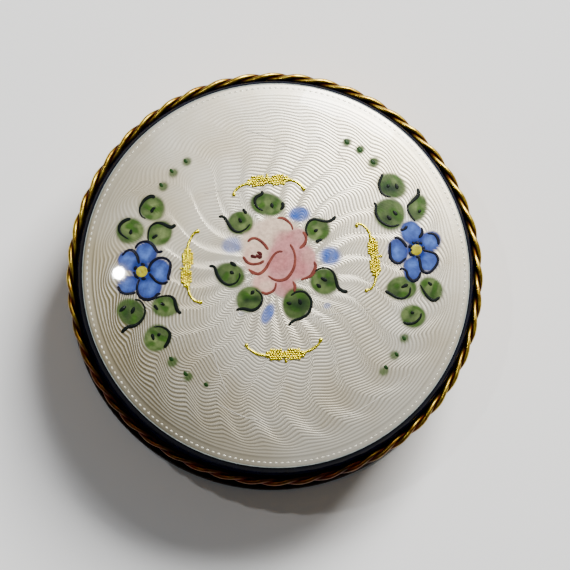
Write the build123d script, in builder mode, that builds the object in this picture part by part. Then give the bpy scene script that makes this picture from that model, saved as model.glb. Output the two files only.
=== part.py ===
"""Round hinged pill box: gilt brass, with a domed guilloche enamel plaque set in the lid.

Millimetres. The origin is the centre of the flat underside, +Z is up, the lid opens at -Y and the
hinge is at +Y. The box is drawn closed.
"""

from build123d import *

import os
from math import cos, degrees, radians, sin, sqrt, tan

os.makedirs("parts", exist_ok=True)

# --- Driving dimensions ---------------------------------------------------------------------------

# enamel plaque in the lid
disc_radius = 19.15  # pale enamel field, out to its edge
border_width = 0.60  # dark border seen from above
border_height = 2.60  # drop of the steep dark border
dome_rise = 1.90  # crown of the pale field above its own edge
enamel_thickness = 0.35
plate_thickness = 0.30
counter_enamel_thickness = 0.20

# twisted wire round the lid
rope_diameter = 0.90
rope_clearance = 0.05  # between the wire and the foot of the plaque

# lid frame and lining
wall_thickness = 0.50
flange_thickness = 0.35
flange_margin = 0.05  # the flange stops this far inside the middle of the wire
skirt_height = 1.25  # parting line to the underside of the flange
plaque_seat_height = 0.50  # plaque seat above the wire's seat
ledge_width = 0.70
lining_thickness = 0.30
lining_gap = 0.30  # between the lining and the counter enamel
lining_wall_inset = 0.50  # lining wall inside the edge of the ledge
lining_margin = 0.15  # round the lining's flange, inside the foot of the plate

# base
wall_inset = 0.25  # outside of both walls, inside the foot of the plaque
base_height = 8.20  # underside to the parting line
floor_thickness = 0.50
foot_width = 0.55
foot_height = 0.90
collar_thickness = 0.45
collar_depth = 1.95  # collar below the parting line
collar_reach = 1.40  # collar above the parting line
collar_lead_in = 0.10

# hinge
knuckle_radius = 0.55
knuckle_length = 1.05
knuckle_count = 5
pin_radius = 0.28
pin_head_radius = 0.42
pin_head_thickness = 0.20
hinge_offset = 0.45  # hinge axis outside the walls
bearer_drop = 2.20  # base bearer below the axis
stop_angle = 102.0  # the two bearers meet at this opening

# gold scrolls on the enamel: name, distance from the motif's centre, bearing in degrees
motif_centre = (0.40, 0.65)
scrolls = (
    ("gold_scroll_right", 9.40, 6.0),
    ("gold_scroll_back", 8.65, 98.0),
    ("gold_scroll_left", 9.20, 182.0),
    ("gold_scroll_front", 8.75, 272.0),
)
scroll_reach = 3.60  # middle of a scroll to each end
scroll_width = 0.32
scroll_height = 0.12
curl_radius = 0.34
cluster_length = 3.00
cluster_width = 0.90
bead_radius = 0.18
bead_count = 6

# fits
parting_gap = 0.10
collar_clearance = 0.08
pin_clearance = 0.05
knuckle_end_gap = 0.10
knuckle_swing_gap = 0.12

# --- Derived sizes --------------------------------------------------------------------------------

border_foot_radius = disc_radius + border_width
body_radius = border_foot_radius - wall_inset
body_bore = body_radius - wall_thickness
rope_centre_radius = border_foot_radius + rope_clearance + rope_diameter / 2

skirt_bottom = base_height + parting_gap / 2
wall_top = base_height - parting_gap / 2
flange_bottom = base_height + skirt_height
rope_seat = flange_bottom + flange_thickness
rope_centre_height = rope_seat + rope_diameter / 2
plaque_seat = rope_seat + plaque_seat_height
disc_edge_height = plaque_seat + border_height
ledge_bottom = plaque_seat - flange_thickness
ledge_radius = body_bore - ledge_width

dome_radius = (disc_radius**2 + dome_rise**2) / (2 * dome_rise)
dome_centre_height = disc_edge_height + dome_rise - dome_radius

plate_edge_radius = disc_radius - 0.85 * enamel_thickness
plate_foot_radius = border_foot_radius - enamel_thickness
plate_depth = enamel_thickness
counter_depth = plate_depth + plate_thickness
counter_radius = plate_edge_radius - 2 * plate_thickness
lining_depth = counter_depth + counter_enamel_thickness + lining_gap
lining_flange_radius = plate_foot_radius - plate_thickness - lining_margin
lining_wall_radius = ledge_radius - lining_wall_inset

axis_y = body_radius + hinge_offset
axis_z = base_height
hinge_length = knuckle_count * knuckle_length + (knuckle_count - 1) * knuckle_end_gap
bearer_back = axis_y + knuckle_radius
swing_radius = knuckle_radius + knuckle_swing_gap


def dome_point(radius, depth):
    """Point (r, z) on the domed surface that lies this deep under the crown."""
    return (radius, dome_centre_height + sqrt((dome_radius - depth) ** 2 - radius**2))


def dome_arc(radius, depth):
    """Arc of a domed surface from the axis out to a radius."""
    return ThreePointArc(
        dome_point(0, depth), dome_point(radius / 2, depth), dome_point(radius, depth)
    )


def knuckle_centre(index):
    """Middle of a knuckle along X, counted from the left."""
    return (index - (knuckle_count - 1) / 2) * (knuckle_length + knuckle_end_gap)


base_knuckle_indices = range(0, knuckle_count, 2)
lid_knuckle_indices = range(1, knuckle_count, 2)


def groove_cutter(own_indices):
    """Round groove along the hinge: tight where a bearer holds its own knuckles, wide elsewhere."""
    plane = Plane.YZ.offset(-hinge_length / 2 - knuckle_end_gap)
    with BuildPart() as groove:
        with BuildSketch(plane):
            with Locations((axis_y, axis_z)):
                Circle(swing_radius)
        extrude(amount=hinge_length + 2 * knuckle_end_gap)
        for index in own_indices:
            start = knuckle_centre(index) - knuckle_length / 2
            with BuildSketch(Plane.YZ.offset(start)):
                with Locations((axis_y, axis_z)):
                    Circle(swing_radius)
                    Circle(knuckle_radius, mode=Mode.SUBTRACT)
            extrude(amount=knuckle_length, mode=Mode.SUBTRACT)
    return groove.part


def turned(points):
    """Closed profile of straight lines, drawn as (radius, height) and turned about Z."""
    with BuildPart() as ring:
        with BuildSketch(Plane.XZ):
            with BuildLine():
                Polyline(*points, close=True)
            make_face()
        revolve(axis=Axis.Z)
    return ring.part


# --- Base -----------------------------------------------------------------------------------------

with BuildPart() as base_floor:
    Cylinder(body_bore, floor_thickness, align=(Align.CENTER, Align.CENTER, Align.MIN))
    top_rim = base_floor.edges().group_by(Axis.Z)[-1]
    chamfer(top_rim, floor_thickness / 5)
base_floor.part.label = "base_floor"
export_step(base_floor.part, "parts/base_floor.step")

with BuildPart() as base_wall:
    add(
        turned(
            [
                (body_bore, 0),
                (body_radius, 0),
                (body_radius, wall_top),
                (body_bore, wall_top),
            ]
        )
    )
    add(groove_cutter([]), mode=Mode.SUBTRACT)
base_wall.part.label = "base_wall"
export_step(base_wall.part, "parts/base_wall.step")

# half-round wire soldered round the bottom of the wall
with BuildPart() as foot_ring:
    with BuildSketch(Plane.XZ):
        with BuildLine():
            foot_flat = body_radius + foot_width / 2
            Polyline((foot_flat, 0), (body_radius, 0), (body_radius, foot_height), (foot_flat, foot_height))
            ThreePointArc(
                (foot_flat, foot_height), (body_radius + foot_width, foot_height / 2), (foot_flat, 0)
            )
        make_face()
    revolve(axis=Axis.Z)
foot_ring.part.label = "foot_ring"
export_step(foot_ring.part, "parts/foot_ring.step")

# inner collar that the lid closes over
collar_inside = body_bore - collar_thickness
collar_outside = body_bore - collar_clearance
collar_top = base_height + collar_reach
with BuildPart() as base_collar:
    add(
        turned(
            [
                (collar_inside, base_height - collar_depth),
                (body_bore, base_height - collar_depth),
                (body_bore, wall_top),
                (collar_outside, wall_top),
                (collar_outside, collar_top - collar_lead_in),
                (collar_outside - collar_lead_in, collar_top),
                (collar_inside, collar_top),
            ]
        )
    )
base_collar.part.label = "base_collar"
export_step(base_collar.part, "parts/base_collar.step")

# --- Lid ------------------------------------------------------------------------------------------

with BuildPart() as lid_frame:
    add(
        turned(
            [
                (body_bore, skirt_bottom),
                (body_radius, skirt_bottom),
                (body_radius, flange_bottom),
                (rope_centre_radius - flange_margin, flange_bottom),
                (rope_centre_radius - flange_margin, rope_seat),
                (rope_centre_radius - rope_diameter / 2, rope_seat),
                (rope_centre_radius - rope_diameter / 2, plaque_seat),
                (ledge_radius, plaque_seat),
                (ledge_radius, ledge_bottom),
                (body_bore, ledge_bottom),
            ]
        )
    )
    add(groove_cutter([]), mode=Mode.SUBTRACT)
lid_frame.part.label = "lid_frame"
export_step(lid_frame.part, "parts/lid_frame.step")

# two wires twisted together and closed into a ring, drawn as the round envelope of the twist
with BuildPart() as rope_rim:
    with BuildSketch(Plane.XZ):
        with Locations((rope_centre_radius, rope_centre_height)):
            Circle(rope_diameter / 2)
    revolve(axis=Axis.Z)
rope_rim.part.label = "rope_rim"
export_step(rope_rim.part, "parts/rope_rim.step")

with BuildPart() as pale_enamel:
    with BuildSketch(Plane.XZ):
        with BuildLine():
            dome_arc(disc_radius, 0)
            Line(dome_point(disc_radius, 0), dome_point(plate_edge_radius, plate_depth))
            dome_arc(plate_edge_radius, plate_depth)
            Line(dome_point(0, plate_depth), dome_point(0, 0))
        make_face()
    revolve(axis=Axis.Z)
pale_enamel.part.label = "pale_enamel"
export_step(pale_enamel.part, "parts/pale_enamel.step")

with BuildPart() as dark_border_enamel:
    add(
        turned(
            [
                dome_point(disc_radius, 0),
                (border_foot_radius, plaque_seat),
                (plate_foot_radius, plaque_seat),
                dome_point(plate_edge_radius, plate_depth),
            ]
        )
    )
dark_border_enamel.part.label = "dark_border_enamel"
export_step(dark_border_enamel.part, "parts/dark_border_enamel.step")

# engine-turned metal plate under the enamel
with BuildPart() as guilloche_plate:
    with BuildSketch(Plane.XZ):
        with BuildLine():
            inner_edge_radius = plate_edge_radius - plate_thickness
            dome_arc(plate_edge_radius, plate_depth)
            Polyline(
                dome_point(plate_edge_radius, plate_depth),
                (plate_foot_radius, plaque_seat),
                (plate_foot_radius - plate_thickness, plaque_seat),
                dome_point(inner_edge_radius, counter_depth),
            )
            dome_arc(inner_edge_radius, counter_depth)
            Line(dome_point(0, counter_depth), dome_point(0, plate_depth))
        make_face()
    revolve(axis=Axis.Z)
guilloche_plate.part.label = "guilloche_plate"
export_step(guilloche_plate.part, "parts/guilloche_plate.step")

# enamel fired on the back of the plate, which keeps it from warping
with BuildPart() as counter_enamel:
    with BuildSketch(Plane.XZ):
        with BuildLine():
            back_depth = counter_depth + counter_enamel_thickness
            dome_arc(counter_radius, counter_depth)
            Line(dome_point(counter_radius, counter_depth), dome_point(counter_radius, back_depth))
            dome_arc(counter_radius, back_depth)
            Line(dome_point(0, back_depth), dome_point(0, counter_depth))
        make_face()
    revolve(axis=Axis.Z)
counter_enamel.part.label = "counter_enamel"
export_step(counter_enamel.part, "parts/counter_enamel.step")

# pressed gilt pan that closes the lid from inside
with BuildPart() as lid_lining:
    with BuildSketch(Plane.XZ):
        with BuildLine():
            inside_radius = lining_wall_radius - lining_thickness
            inside_depth = lining_depth + lining_thickness
            dome_arc(lining_wall_radius, lining_depth)
            Polyline(
                dome_point(lining_wall_radius, lining_depth),
                (lining_wall_radius, plaque_seat + lining_thickness),
                (lining_flange_radius, plaque_seat + lining_thickness),
                (lining_flange_radius, plaque_seat),
                (inside_radius, plaque_seat),
                dome_point(inside_radius, inside_depth),
            )
            dome_arc(inside_radius, inside_depth)
            Line(dome_point(0, inside_depth), dome_point(0, lining_depth))
        make_face()
    revolve(axis=Axis.Z)
lid_lining.part.label = "lid_lining"
export_step(lid_lining.part, "parts/lid_lining.step")

# --- Gold scrolls on the enamel -------------------------------------------------------------------

# everything under the enamel's outer surface, and the same with the scrolls' foil on it
with BuildPart(mode=Mode.PRIVATE) as dome_core:
    with BuildSketch(Plane.XZ):
        with BuildLine():
            dome_arc(disc_radius, 0)
            Polyline(dome_point(disc_radius, 0), (disc_radius, 0), (0, 0), dome_point(0, 0))
        make_face()
    revolve(axis=Axis.Z)

with BuildPart(mode=Mode.PRIVATE) as foil_envelope:
    with BuildSketch(Plane.XZ):
        with BuildLine():
            dome_arc(disc_radius, -scroll_height)
            Polyline(
                dome_point(disc_radius, -scroll_height),
                (disc_radius, 0),
                (0, 0),
                dome_point(0, -scroll_height),
            )
        make_face()
    revolve(axis=Axis.Z)


def on_motif(distance, bearing):
    """Point seen from above, at a distance and bearing from the motif's centre."""
    angle = radians(bearing)
    return (motif_centre[0] + distance * cos(angle), motif_centre[1] + distance * sin(angle))


def bead_points(distance, bearing):
    """Bead centres on the dome: a row through the cluster and one at each end of the scroll."""
    half_row = (cluster_length - 2 * bead_radius) / 2
    along = [-half_row + 2 * half_row * i / (bead_count - 1) for i in range(bead_count)]
    along = [-scroll_reach] + along + [scroll_reach]
    points = []
    for step in along:
        x, y = on_motif(distance, bearing + degrees(step / distance))
        points.append((x, y, dome_point(sqrt(x * x + y * y), 0)[1]))
    return points


for name, distance, bearing in scrolls:
    half_turn = degrees(scroll_reach / distance)
    with BuildPart() as gold_scroll:
        with BuildSketch(Plane.XY.offset(disc_edge_height)):
            with BuildLine():
                inside = distance - scroll_width / 2
                outside = distance + scroll_width / 2
                inner_arc = CenterArc(motif_centre, inside, bearing - half_turn, 2 * half_turn)
                outer_arc = CenterArc(motif_centre, outside, bearing - half_turn, 2 * half_turn)
                Line(inner_arc @ 0, outer_arc @ 0)
                Line(inner_arc @ 1, outer_arc @ 1)
            make_face()
            with Locations(
                on_motif(distance, bearing - half_turn), on_motif(distance, bearing + half_turn)
            ):
                Circle(curl_radius)
            with Locations(on_motif(distance, bearing)):
                Ellipse(cluster_length / 2, cluster_width / 2, rotation=bearing + 90)
        extrude(amount=dome_rise + 1)
        add(foil_envelope.part, mode=Mode.INTERSECT)
        with Locations(*bead_points(distance, bearing)):
            Sphere(bead_radius)
        add(dome_core.part, mode=Mode.SUBTRACT)
    gold_scroll.part.label = name
    export_step(gold_scroll.part, f"parts/{name}.step")

# --- Hinge ----------------------------------------------------------------------------------------

bevel = tan(radians(stop_angle / 2)) * knuckle_radius
bearer_front = body_bore - hinge_length / 2


def bearer(side, far_height, own_indices):
    """Strip that carries one half's knuckles. Side is 1 on the lid and -1 on the base."""
    near = axis_z + side * parting_gap / 2
    far = axis_z + side * far_height
    with BuildPart() as strip:
        with BuildSketch(Plane.YZ.offset(-hinge_length / 2)):
            with BuildLine():
                Polyline(
                    (bearer_front, near),
                    (axis_y, near),
                    (bearer_back, axis_z + side * bevel),
                    (bearer_back, far),
                    (bearer_front, far),
                    close=True,
                )
            make_face()
        extrude(amount=hinge_length)
        Cylinder(body_radius, 4 * base_height, mode=Mode.SUBTRACT)
        add(groove_cutter(own_indices), mode=Mode.SUBTRACT)
    return strip.part


def knuckles(own_indices, bore_radius):
    """Short tubes on the hinge axis."""
    with BuildPart() as tubes:
        for index in own_indices:
            with BuildSketch(Plane.YZ.offset(knuckle_centre(index) - knuckle_length / 2)):
                with Locations((axis_y, axis_z)):
                    Circle(knuckle_radius)
                    Circle(bore_radius, mode=Mode.SUBTRACT)
            extrude(amount=knuckle_length)
    return tubes.part


with BuildPart() as base_hinge_bearer:
    add(bearer(-1, bearer_drop, base_knuckle_indices))
base_hinge_bearer.part.label = "base_hinge_bearer"
export_step(base_hinge_bearer.part, "parts/base_hinge_bearer.step")

with BuildPart() as lid_hinge_bearer:
    add(bearer(1, skirt_height, lid_knuckle_indices))
lid_hinge_bearer.part.label = "lid_hinge_bearer"
export_step(lid_hinge_bearer.part, "parts/lid_hinge_bearer.step")

with BuildPart() as base_knuckles:
    add(knuckles(base_knuckle_indices, pin_radius))
base_knuckles.part.label = "base_knuckles"
export_step(base_knuckles.part, "parts/base_knuckles.step")

with BuildPart() as lid_knuckles:
    add(knuckles(lid_knuckle_indices, pin_radius + pin_clearance))
lid_knuckles.part.label = "lid_knuckles"
export_step(lid_knuckles.part, "parts/lid_knuckles.step")

with BuildPart() as hinge_pin:
    with BuildSketch(Plane.YZ.offset(-hinge_length / 2)):
        with Locations((axis_y, axis_z)):
            Circle(pin_radius)
    extrude(amount=hinge_length)
    for plane in (
        Plane.YZ.offset(-hinge_length / 2 - pin_head_thickness),
        Plane.YZ.offset(hinge_length / 2),
    ):
        with BuildSketch(plane):
            with Locations((axis_y, axis_z)):
                Circle(pin_head_radius)
        extrude(amount=pin_head_thickness)
    head_rims = hinge_pin.edges().filter_by(GeomType.CIRCLE).group_by(Axis.X)
    fillet(head_rims[0] + head_rims[-1], pin_head_thickness / 2)
hinge_pin.part.label = "hinge_pin"
export_step(hinge_pin.part, "parts/hinge_pin.step")
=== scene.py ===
"""Looks of the guilloche pill box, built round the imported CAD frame. Meshes are worked out in mm."""

import random
from math import cos, pi, radians, sin, sqrt, tau

import bmesh
import bpy
import numpy as np
from mathutils import Matrix, Vector


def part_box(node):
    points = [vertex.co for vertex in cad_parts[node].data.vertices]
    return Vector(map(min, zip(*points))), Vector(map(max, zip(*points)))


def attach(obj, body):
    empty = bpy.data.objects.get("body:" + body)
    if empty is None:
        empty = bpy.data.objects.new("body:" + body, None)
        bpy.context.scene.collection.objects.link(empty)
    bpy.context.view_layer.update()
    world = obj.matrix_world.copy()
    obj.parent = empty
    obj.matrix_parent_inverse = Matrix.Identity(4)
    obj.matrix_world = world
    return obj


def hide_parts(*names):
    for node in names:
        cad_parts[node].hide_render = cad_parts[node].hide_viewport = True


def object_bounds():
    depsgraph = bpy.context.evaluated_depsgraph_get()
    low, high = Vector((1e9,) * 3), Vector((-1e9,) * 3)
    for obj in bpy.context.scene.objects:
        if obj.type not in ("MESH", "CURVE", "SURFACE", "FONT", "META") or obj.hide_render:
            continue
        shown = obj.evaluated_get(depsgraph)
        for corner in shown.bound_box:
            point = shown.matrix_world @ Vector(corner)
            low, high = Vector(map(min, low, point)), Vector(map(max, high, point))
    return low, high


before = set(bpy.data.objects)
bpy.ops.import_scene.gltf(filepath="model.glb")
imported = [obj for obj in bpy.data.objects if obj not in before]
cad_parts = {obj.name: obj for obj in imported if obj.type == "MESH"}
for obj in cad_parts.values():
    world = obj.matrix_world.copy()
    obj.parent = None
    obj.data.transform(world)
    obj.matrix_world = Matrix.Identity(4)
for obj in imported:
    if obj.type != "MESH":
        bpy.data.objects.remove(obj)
cad_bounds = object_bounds()

MM = 0.001


# ---- Sizes taken from the frame, in mm ----


def extent(node):
    """Lowest and highest corner of a CAD node, in mm."""
    low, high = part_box(node)
    return np.array(low) / MM, np.array(high) / MM


field_high = extent("pale_enamel")[1]
border_low, border_high = extent("dark_border_enamel")
rope_low, rope_high = extent("rope_rim")

FIELD_RADIUS = field_high[0]
CROWN_Z = field_high[2]
EDGE_Z = border_high[2]
FIELD_THICKNESS = CROWN_Z - extent("guilloche_plate")[1][2]
BORDER_RADIUS = border_high[0]
SEAT_Z = border_low[2]
ROPE_RADIUS = (rope_high[2] - rope_low[2]) / 2
ROPE_CENTRE_RADIUS = rope_high[0] - ROPE_RADIUS
ROPE_Z = (rope_high[2] + rope_low[2]) / 2
FOOT_TOP = extent("foot_ring")[1][2]

DOME_RISE = CROWN_Z - EDGE_Z
DOME_RADIUS = (FIELD_RADIUS**2 + DOME_RISE**2) / (2 * DOME_RISE)
DOME_CENTRE_Z = CROWN_Z - DOME_RADIUS

# The motif is drawn as the camera sees it, a little from the front, and is set back by this much.
MOTIF_SHIFT = np.array([-0.04, -0.10])
MOTIF_SCALE = 0.99


def motif_place(points):
    """Places (x, y) of the drawn motif, on the box."""
    return np.asarray(points, float) * MOTIF_SCALE + MOTIF_SHIFT


def dome_z(radius, depth=0.0):
    """Height of the domed field at a radius, or of the surface that lies this deep under it."""
    return DOME_CENTRE_Z + np.sqrt((DOME_RADIUS - depth) ** 2 - np.asarray(radius) ** 2)


def on_dome(points, lift=0.0):
    """Points (x, y) of the motif set on the domed field, and lifted along its normal."""
    flat = motif_place(points)
    z = dome_z(np.hypot(flat[:, 0], flat[:, 1]))
    solid = np.column_stack([flat, z])
    normal = (solid - [0, 0, DOME_CENTRE_Z]) / DOME_RADIUS
    return solid + normal * np.reshape(lift, (-1, 1))


# ---- Mesh helpers ----


def add_object(name, data):
    """A new object in the scene."""
    made = bpy.data.objects.new(name, data)
    bpy.context.scene.collection.objects.link(made)
    return made


def make_object(name, vertices, faces):
    """A smooth mesh object from vertices in mm."""
    mesh = bpy.data.meshes.new(name)
    mesh.from_pydata((np.asarray(vertices, float) * MM).tolist(), [], [tuple(f) for f in faces])
    mesh.validate()
    mesh.update()
    mesh.polygons.foreach_set("use_smooth", [True] * len(mesh.polygons))
    return add_object(name, mesh)


def add_layer(piece, name, kind, field, values):
    """A number or an RGBA colour for each vertex, for the material to read."""
    layer = piece.data.attributes.new(name, kind, "POINT")
    layer.data.foreach_set(field, np.asarray(values, np.float32).ravel())


def ring_faces(rings, around, closed=False):
    """Quads between rings of vertices. Closed joins the last ring to the first."""
    faces = []
    for i in range(rings if closed else rings - 1):
        a, b = i * around, ((i + 1) % rings) * around
        faces += [(a + j, a + (j + 1) % around, b + (j + 1) % around, b + j) for j in range(around)]
    return faces


def fan_faces(middle, start, around):
    """Triangles between a middle vertex and a ring."""
    return [(middle, start + j, start + (j + 1) % around) for j in range(around)]


TURNED_AROUND = 256


def turned(name, profile):
    """Closed profile of (radius, height) points turned about Z."""
    angles = np.arange(TURNED_AROUND) * tau / TURNED_AROUND
    vertices = [(r * cos(a), r * sin(a), z) for r, z in profile for a in angles]
    faces = ring_faces(len(profile), TURNED_AROUND, closed=True)
    return make_object(name, vertices, [f[::-1] for f in faces])


CURVE_POINTS = 24  # worked out between two given points of a smooth line


def smooth_line(points, step):
    """Evenly spaced points on a smooth curve through the given ones (Catmull-Rom)."""
    p = np.asarray(points, float)
    p = np.vstack([2 * p[0] - p[1], p, 2 * p[-1] - p[-2]])
    t = np.linspace(0, 1, CURVE_POINTS, endpoint=False)[:, None]
    pieces = []
    for a, b, c, d in zip(p, p[1:], p[2:], p[3:]):
        square, cube = 2 * a - 5 * b + 4 * c - d, 3 * b - a - 3 * c + d
        pieces.append(0.5 * (2 * b + (c - a) * t + square * t**2 + cube * t**3))
    dense = np.vstack(pieces + [p[-2:-1]])
    along = np.concatenate([[0], np.cumsum(np.linalg.norm(np.diff(dense, axis=0), axis=1))])
    count = max(4, int(along[-1] / step) + 1)
    even = np.linspace(0, along[-1], count)
    return np.column_stack([np.interp(even, along, dense[:, k]) for k in range(dense.shape[1])])


def smoothstep(low, high, value):
    """Rises smoothly from 0 at low to 1 at high."""
    t = np.clip((value - low) / (high - low), 0, 1)
    return t * t * (3 - 2 * t)


def ripple(x, y, seed):
    """Smooth irregular field between about -1 and 1, from a few crossed waves."""
    draw = random.Random(seed)
    total = np.zeros_like(x)
    for _ in range(6):
        angle, size, phase = draw.uniform(0, tau), draw.uniform(0.6, 1.6), draw.uniform(0, tau)
        total += np.sin(size * (x * cos(angle) + y * sin(angle)) + phase)
    return total / 3.2


# ---- Material helpers ----


# Sockets of a Mix node that mixes colours.
MIX_FACTOR, MIX_FIRST, MIX_SECOND, MIX_RESULT = 0, 6, 7, 2


class Shader:
    """A Principled material and short calls for the nodes that feed it."""

    def __init__(self, name, **values):
        self.material = bpy.data.materials.new(name)
        self.material.use_nodes = True
        self.tree = self.material.node_tree
        self.principled = self.tree.nodes["Principled BSDF"]
        self.place = self.node("ShaderNodeTexCoord").outputs["Object"]
        for socket, value in values.items():
            self.principled.inputs[socket.replace("_", " ")].default_value = value

    def node(self, kind, **settings):
        made = self.tree.nodes.new(kind)
        for name, value in settings.items():
            setattr(made, name, value)
        return made

    def link(self, source, target):
        self.tree.links.new(source, target)

    def feed(self, source, socket):
        self.link(source, self.principled.inputs[socket])

    def put(self, value, socket):
        """Links a value that varies to a socket, or sets one that doesn't."""
        if isinstance(value, bpy.types.NodeSocket):
            self.link(value, socket)
        else:
            socket.default_value = (*value, 1) if isinstance(value, tuple) else value

    def stretched(self, scale):
        mapping = self.node("ShaderNodeMapping")
        mapping.inputs["Scale"].default_value = scale
        self.link(self.place, mapping.inputs["Vector"])
        return mapping.outputs["Vector"]

    def noise(self, scale, detail=4.0, roughness=0.55, place=None):
        made = self.node("ShaderNodeTexNoise")
        made.inputs["Scale"].default_value = scale
        made.inputs["Detail"].default_value = detail
        made.inputs["Roughness"].default_value = roughness
        self.link(place or self.place, made.inputs["Vector"])
        return made.outputs["Fac"]

    def vector(self, operation, first, second=(0, 0, 0), output="Vector"):
        made = self.node("ShaderNodeVectorMath", operation=operation)
        self.link(first, made.inputs[0])
        made.inputs[1].default_value = second
        return made.outputs[output]

    def toward(self, way, reach):
        """How far a point lies this way across the box: 1 at the reach, in mm."""
        scaled = (way[0] / reach / MM, way[1] / reach / MM, 0)
        return self.vector("DOT_PRODUCT", self.place, scaled, "Value")

    def attribute(self, name, output="Fac"):
        return self.node("ShaderNodeAttribute", attribute_name=name).outputs[output]

    def ramp(self, source, *stops):
        """Colours or greys at places along 0 to 1."""
        made = self.node("ShaderNodeValToRGB")
        ramp = made.color_ramp
        while len(ramp.elements) < len(stops):
            ramp.elements.new(0.5)
        for element, (place, colour) in zip(ramp.elements, stops):
            element.position = place
            grey = isinstance(colour, (int, float))
            element.color = (colour,) * 3 + (1,) if grey else (*colour, 1)
        self.link(source, made.inputs["Fac"])
        return made.outputs["Color"]

    def mix(self, factor, first, second, blend="MIX"):
        made = self.node("ShaderNodeMix", data_type="RGBA", blend_type=blend)
        self.put(factor, made.inputs[MIX_FACTOR])
        self.put(first, made.inputs[MIX_FIRST])
        self.put(second, made.inputs[MIX_SECOND])
        return made.outputs[MIX_RESULT]

    def math(self, operation, first, second=0.0):
        made = self.node("ShaderNodeMath", operation=operation)
        self.put(first, made.inputs[0])
        self.put(second, made.inputs[1])
        return made.outputs["Value"]

    def bump(self, height, strength, distance, under=None):
        made = self.node("ShaderNodeBump")
        made.inputs["Strength"].default_value = strength
        made.inputs["Distance"].default_value = distance * MM
        self.link(height, made.inputs["Height"])
        if under:
            self.link(under, made.inputs["Normal"])
        return made.outputs["Normal"]


def linear(*display):
    """Linear colour from red, green and blue display values, 0 to 255 (the sRGB curve)."""
    shares = [value / 255 for value in display]
    return tuple(c / 12.92 if c <= 0.04 else ((c + 0.055) / 1.055) ** 2.4 for c in shares)


# ---- Materials ----


SHADED_DULL_SIDE = (-0.94, -0.34)  # way across the lid to the lower left, where the enamel is darker and yellower: painted shade away from the key light, and yellowed enamel
SHADED_ROPE_SIDE = (-0.30, -0.95)  # way across the lid to the front, where the rope is darkened by patchy tarnish and painted shade
GROUND_METAL = 0.72  # how metallic the engraved ground looks through the bare enamel
SHADE_WANDER = 0.6  # mm that the edge of the painted shade on the metal wanders up and down
RING_WANDER = 0.04  # mm that turned rings wander


def pearl_enamel():
    """Pale translucent enamel over engraved metal, darker in its cuts and towards the lower left from painted
    shade and yellowing, with the soft paint fired into it.
    """
    s = Shader(
        "pearl_enamel", Roughness=0.36, Coat_Weight=1.0, Coat_Roughness=0.03, Specular_IOR_Level=0.1
    )
    cloud = s.ramp(s.noise(140, 3), (0.35, linear(214, 203, 178)), (0.62, linear(230, 224, 207)))
    stain = s.ramp(s.noise(420, 5, 0.65), (0.62, 0.0), (0.78, 0.5))
    ground = s.mix(stain, cloud, linear(196, 180, 138))
    crest = s.attribute("crest")
    # painted shade: the cuts are darkened, standing for deeper enamel in them and for the shade on their
    # flanks
    engraved = s.mix(s.ramp(crest, (0.1, 0.6), (0.6, 0.0)), ground, linear(146, 134, 112))
    # painted shade: darker and yellower towards the lower left, away from the key light, mostly in the cuts;
    # partly yellowed enamel
    shade_and_age = s.math("ADD", s.toward(SHADED_DULL_SIDE, FIELD_RADIUS), s.math("MULTIPLY", s.noise(110, 3), 0.3))
    low = s.ramp(crest, (0.25, 1.0), (0.9, 0.30))
    shade_and_dulling = s.math("MULTIPLY", s.ramp(shade_and_age, (0.42, 0.0), (1.0, 1.0)), low)
    shaded_and_aged = s.mix(shade_and_dulling, engraved, linear(112, 102, 72))
    paint = s.attribute("paint", "Color")
    cover = s.attribute("paint", "Alpha")
    tint = s.ramp(s.noise(2400, 4, 0.7), (0.32, 0.60), (0.66, 1.0))
    painted = s.mix(1.0, paint, tint, "MULTIPLY")
    s.feed(s.mix(cover, shaded_and_aged, painted), "Base Color")
    s.feed(s.math("MULTIPLY", s.math("SUBTRACT", 1.0, cover), GROUND_METAL), "Metallic")
    s.feed(s.bump(s.noise(5200, 3, 0.6), 0.10, 0.02), "Normal")
    s.feed(smooth_normal(s), "Coat Normal")
    return s.material


def smooth_normal(s):
    """Normal of the plain dome, for the glassy top over the engraving."""
    away = s.vector("NORMALIZE", s.vector("SUBTRACT", s.place, (0, 0, DOME_CENTRE_Z * MM)))
    turn = s.node(
        "ShaderNodeVectorTransform", vector_type="NORMAL", convert_from="OBJECT", convert_to="WORLD"
    )
    s.link(away, turn.inputs[0])
    return turn.outputs[0]


def dark_enamel():
    """Navy enamel, nearly black, with a slight unevenness."""
    s = Shader("navy_enamel", Roughness=0.35, Coat_Weight=0.08, Coat_Roughness=0.05, Specular_IOR_Level=0.0)
    depth = s.ramp(s.noise(900, 4), (0.3, linear(3, 4, 10)), (0.7, linear(8, 11, 30)))
    s.feed(depth, "Base Color")
    s.feed(s.bump(s.noise(700, 3), 0.25, 0.03), "Normal")
    return s.material


def brush_paint(name, dark, light, roughness=0.5):
    """Fired paint standing slightly proud, with uneven colour along the stroke."""
    s = Shader(name, Roughness=roughness, Coat_Weight=0.05, Coat_Roughness=0.1, Specular_IOR_Level=0.1)
    s.feed(s.ramp(s.noise(1800, 4, 0.6), (0.3, dark), (0.72, light)), "Base Color")
    s.feed(s.bump(s.noise(6000, 3), 0.3, 0.01), "Normal")
    return s.material


def gold(name, deep, bright, rough, grain, bump):
    """Gilt metal with uneven colour and polish."""
    s = Shader(name, Metallic=1.0)
    s.feed(s.ramp(s.noise(grain, 5, 0.6), (0.3, deep), (0.68, bright)), "Base Color")
    s.feed(s.ramp(s.noise(grain * 2.3, 4, 0.6), (0.3, rough[0]), (0.75, rough[1])), "Roughness")
    s.feed(s.bump(s.noise(grain * 4, 3), 0.35, bump), "Normal")
    return s.material


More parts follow.
